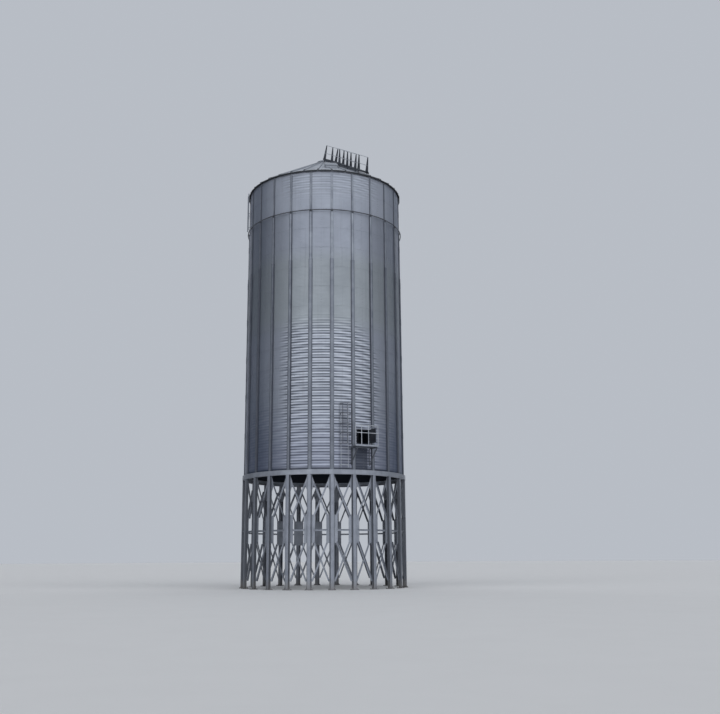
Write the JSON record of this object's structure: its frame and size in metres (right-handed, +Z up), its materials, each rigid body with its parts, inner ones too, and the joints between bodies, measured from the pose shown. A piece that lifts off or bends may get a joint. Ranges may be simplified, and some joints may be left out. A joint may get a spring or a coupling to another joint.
{
  "type": "grain silo",
  "caption": "Elevated round grain silo: corrugated steel shell with stiffeners and a ribbed cone roof, on a ring of braced legs, with a manhole, its platform, caged ladder and roof stair.",
  "frame": {"origin": "the silo's centre line at ground level: the centre of the ring of legs, on the plane that their base plates stand on", "axes": "+Z up along the silo's centre line; -Y is the front, on the line of leg_01; bearings go from -Y towards +X, and the manhole is at 22 degrees"},
  "size_m": [9.6, 10.2612, 26.75],
  "materials": {
    "wall_sheet": "galvanised, weathered matt",
    "galvanised_structure": "hot-dip galvanised, dull",
    "roof_sheet": "galvanised, weathered matt",
    "access_steel": "galvanised",
    "door_steel": "dark grey, matt"
  },
  "bodies": {
    "root": {"leg_01": "galvanised_structure", "leg_02": "galvanised_structure", "leg_03": "galvanised_structure", "leg_04": "galvanised_structure", "leg_05": "galvanised_structure", "leg_06": "galvanised_structure", "leg_07": "galvanised_structure", "leg_08": "galvanised_structure", "leg_09": "galvanised_structure", "leg_10": "galvanised_structure", "leg_11": "galvanised_structure", "leg_12": "galvanised_structure", "leg_13": "galvanised_structure", "leg_14": "galvanised_structure", "leg_15": "galvanised_structure", "leg_16": "galvanised_structure", "leg_17": "galvanised_structure", "leg_18": "galvanised_structure", "leg_19": "galvanised_structure", "leg_20": "galvanised_structure", "leg_21": "galvanised_structure", "leg_22": "galvanised_structure", "leg_23": "galvanised_structure", "leg_24": "galvanised_structure", "bracing_quarter_1": "galvanised_structure", "bracing_quarter_2": "galvanised_structure", "bracing_quarter_3": "galvanised_structure", "bracing_quarter_4": "galvanised_structure", "ring_beam": "galvanised_structure", "wall_segment_1": "wall_sheet", "wall_segment_2": "wall_sheet", "wall_segment_3": "wall_sheet", "wall_segment_4": "wall_sheet", "wall_segment_5": "wall_sheet", "wall_segment_6": "wall_sheet", "wind_ring": "galvanised_structure", "roof_cone": "roof_sheet", "roof_collar": "roof_sheet", "roof_hatch": "roof_sheet", "roof_stair": "access_steel", "roof_handrail_left": "access_steel", "roof_handrail_right": "access_steel", "manhole_frame": "galvanised_structure", "manhole_door": "door_steel", "access_platform": "access_steel", "platform_railing": "access_steel", "access_ladder": "access_steel", "ladder_cage": "access_steel", "eave_ladder": "access_steel"}
  },
  "joints": []
}
